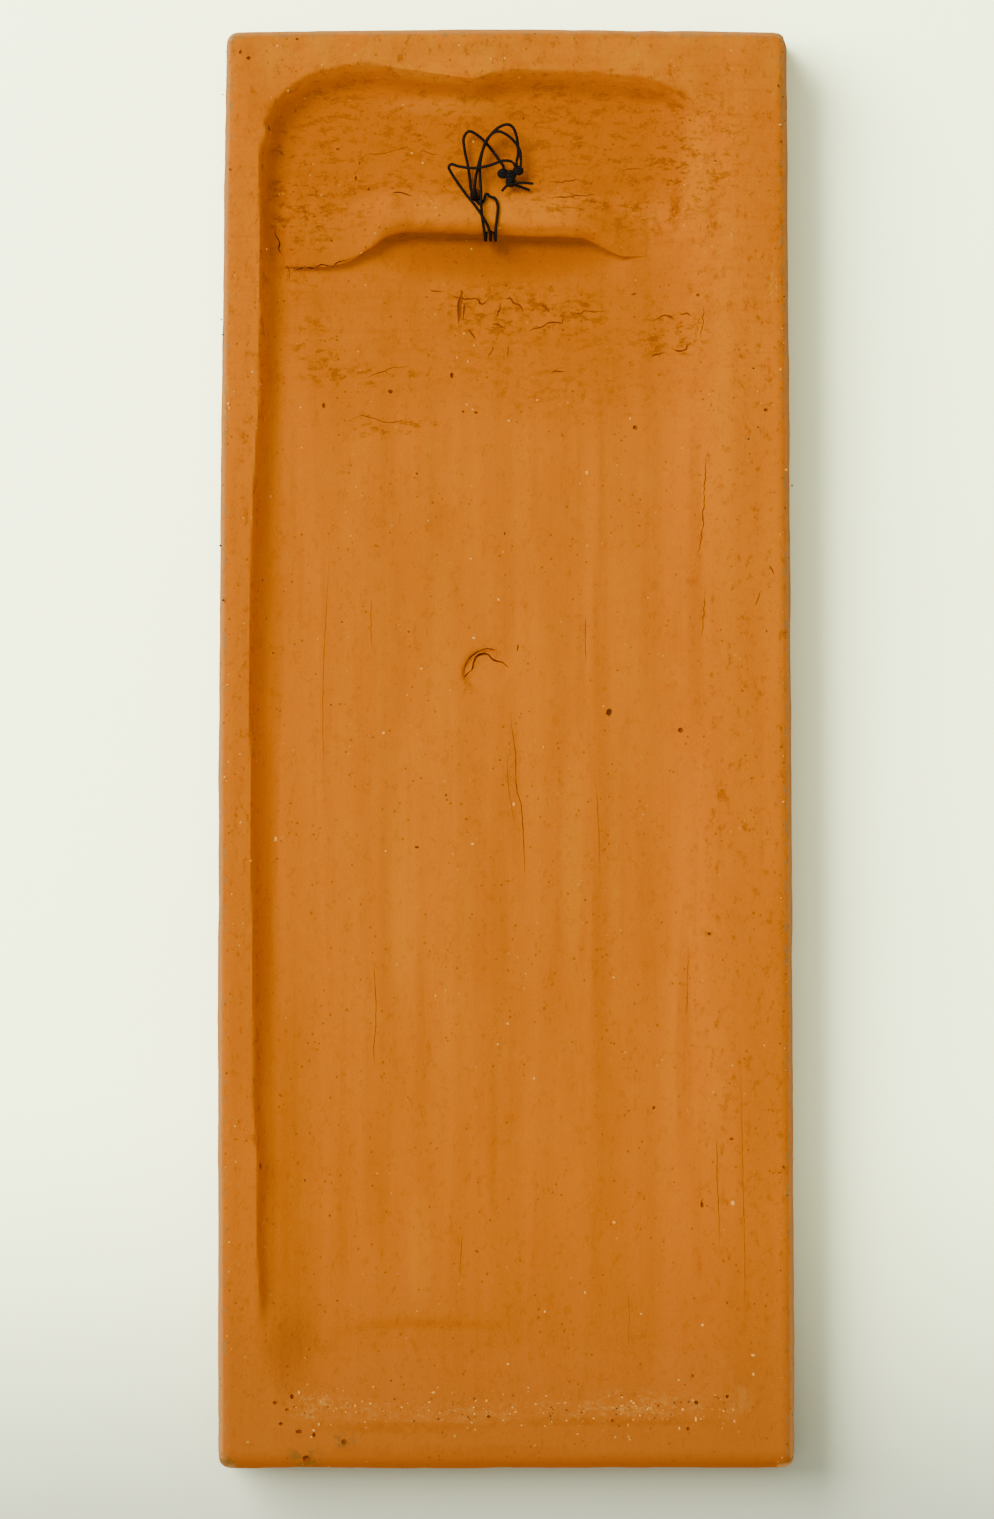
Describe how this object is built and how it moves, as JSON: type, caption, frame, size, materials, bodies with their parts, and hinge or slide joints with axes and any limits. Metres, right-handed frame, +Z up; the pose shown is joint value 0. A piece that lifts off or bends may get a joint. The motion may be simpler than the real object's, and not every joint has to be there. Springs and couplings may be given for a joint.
{
  "type": "decorative wall plaque",
  "caption": "Tall hand-pressed terracotta wall plaque with a framed leafy relief and a sunk back, hung by a waxed cord from a pierced clay strap.",
  "frame": {"origin": "the nail that the cord loops hang on, on the centre line, in the plane of the wall", "axes": "+Z up as it hangs, +Y towards the wall (the pictured back), -Y towards the viewer (the decorated front), +X to the right of someone who looks at the front"},
  "size_m": [0.1853, 0.028, 0.46],
  "materials": {
    "terracotta": "matt fired clay with finger drags, pits, pale specks and salt bloom",
    "waxed_cord": "black waxed thread, slightly shiny"
  },
  "bodies": {
    "root": {"plaque": "terracotta", "cord_left_loop": "waxed_cord", "cord_outer_loop": "waxed_cord", "cord_inner_loop": "waxed_cord", "cord_crossing": "waxed_cord", "cord_tie": "waxed_cord", "knot_lower": "waxed_cord", "knot_upper": "waxed_cord"}
  },
  "joints": []
}
